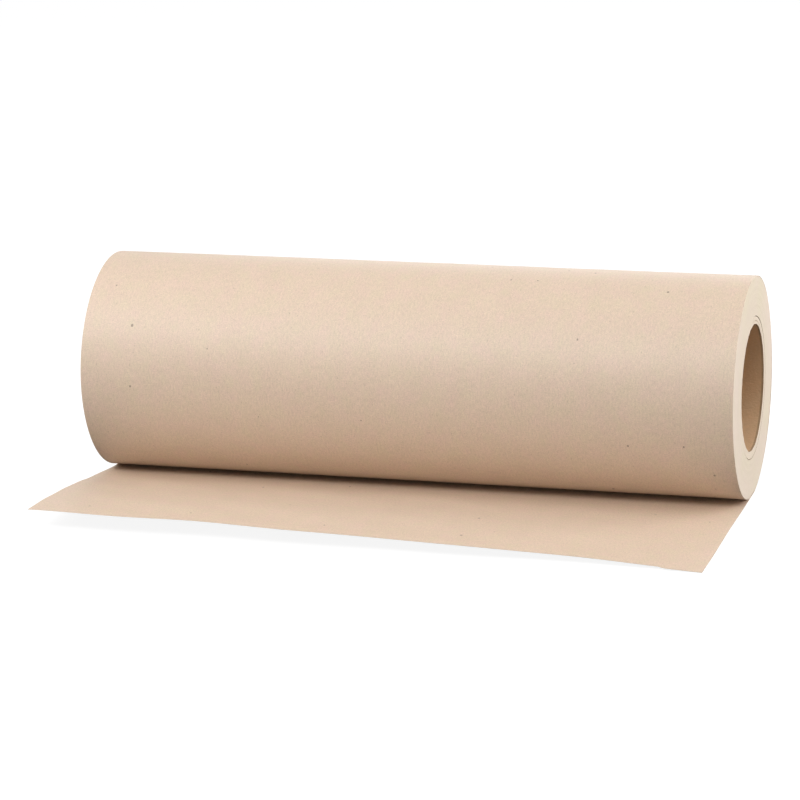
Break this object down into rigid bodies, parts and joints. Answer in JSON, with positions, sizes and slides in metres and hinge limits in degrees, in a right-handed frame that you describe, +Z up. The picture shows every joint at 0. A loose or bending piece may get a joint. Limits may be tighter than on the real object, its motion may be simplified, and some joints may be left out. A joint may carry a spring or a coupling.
{
  "type": "kraft paper roll",
  "caption": "Roll of brown kraft wrapping paper wound on a hollow board core, lying on its side with a short length of paper unrolled flat in front.",
  "frame": {"origin": "on the floor, straight below the middle of the roll's axis", "axes": "+X along the roll, -Y the way the paper is unrolled, +Z up"},
  "size_m": [0.4, 0.2277, 0.133],
  "materials": {
    "kraft_paper": "uncoated brown kraft paper, faintly smoother on the outside of the roll",
    "core_board": "spirally wound grey-brown board, cut pale at the ends"
  },
  "bodies": {
    "root": {"wound_paper": "kraft_paper", "core_tube": "core_board"}
  },
  "joints": []
}
